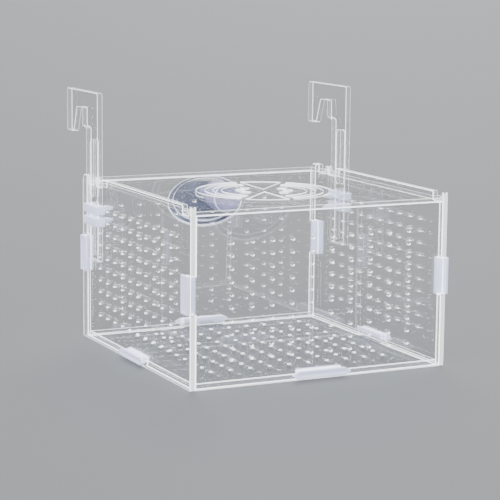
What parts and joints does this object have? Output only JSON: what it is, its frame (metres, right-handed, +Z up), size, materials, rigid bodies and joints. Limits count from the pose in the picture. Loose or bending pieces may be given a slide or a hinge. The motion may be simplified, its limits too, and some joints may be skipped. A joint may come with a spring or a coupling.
{
  "type": "fish breeding box",
  "caption": "Clear box of keyed acrylic sheets that hangs inside an aquarium, with flow holes, a lift-out lid with a feeding rosette, sliding rim hooks and a suction cup.",
  "frame": {"origin": "middle of the flat underside, on the surface that the box rests on", "axes": "+Z up, +Y towards the glass of the tank (the suction cup's side), +X to the right seen from the front"},
  "size_m": [0.1614, 0.1934, 0.142],
  "materials": {
    "clear_acrylic": "polished clear sheet with frosted cut edges",
    "milky_silicone": "translucent milky silicone, satin",
    "soft_clear": "soft clear vinyl with a faint blue tint"
  },
  "bodies": {
    "box": {"front_panel": "clear_acrylic", "back_panel": "clear_acrylic", "left_panel": "clear_acrylic", "right_panel": "clear_acrylic", "bottom_panel": "clear_acrylic", "clip_front_left": "milky_silicone", "clip_front_right": "milky_silicone", "clip_back_left": "milky_silicone", "clip_back_right": "milky_silicone", "clip_bottom_front": "milky_silicone", "clip_bottom_back": "milky_silicone", "clip_bottom_left": "milky_silicone", "clip_bottom_right": "milky_silicone", "band_left_upper": "milky_silicone", "band_left_lower": "milky_silicone", "band_right_upper": "milky_silicone", "band_right_lower": "milky_silicone", "cup_plug": "milky_silicone"},
    "lid_body": {"lid": "clear_acrylic"},
    "left_hook": {"hook_left": "clear_acrylic"},
    "right_hook": {"hook_right": "clear_acrylic"},
    "cup": {"suction_cup": "soft_clear"}
  },
  "joints": [
    {"name": "lid_lift", "type": "slide", "parent": "box", "child": "lid_body", "axis": [0, 0, 1], "range_m": [0, 0.06]},
    {"name": "left_hook_slide", "type": "slide", "parent": "box", "child": "left_hook", "axis": [0, 0, 1], "range_m": [-0.0015, 0.016]},
    {"name": "right_hook_slide", "type": "slide", "parent": "box", "child": "right_hook", "axis": [0, 0, 1], "range_m": [-0.0015, 0.016]},
    {"name": "cup_tilt", "type": "hinge", "parent": "box", "child": "cup", "pos_m": [0.009, 0.093, 0.0775], "axis": [0.9375, 0, 0.3479], "range_deg": [0, 60.8]}
  ]
}
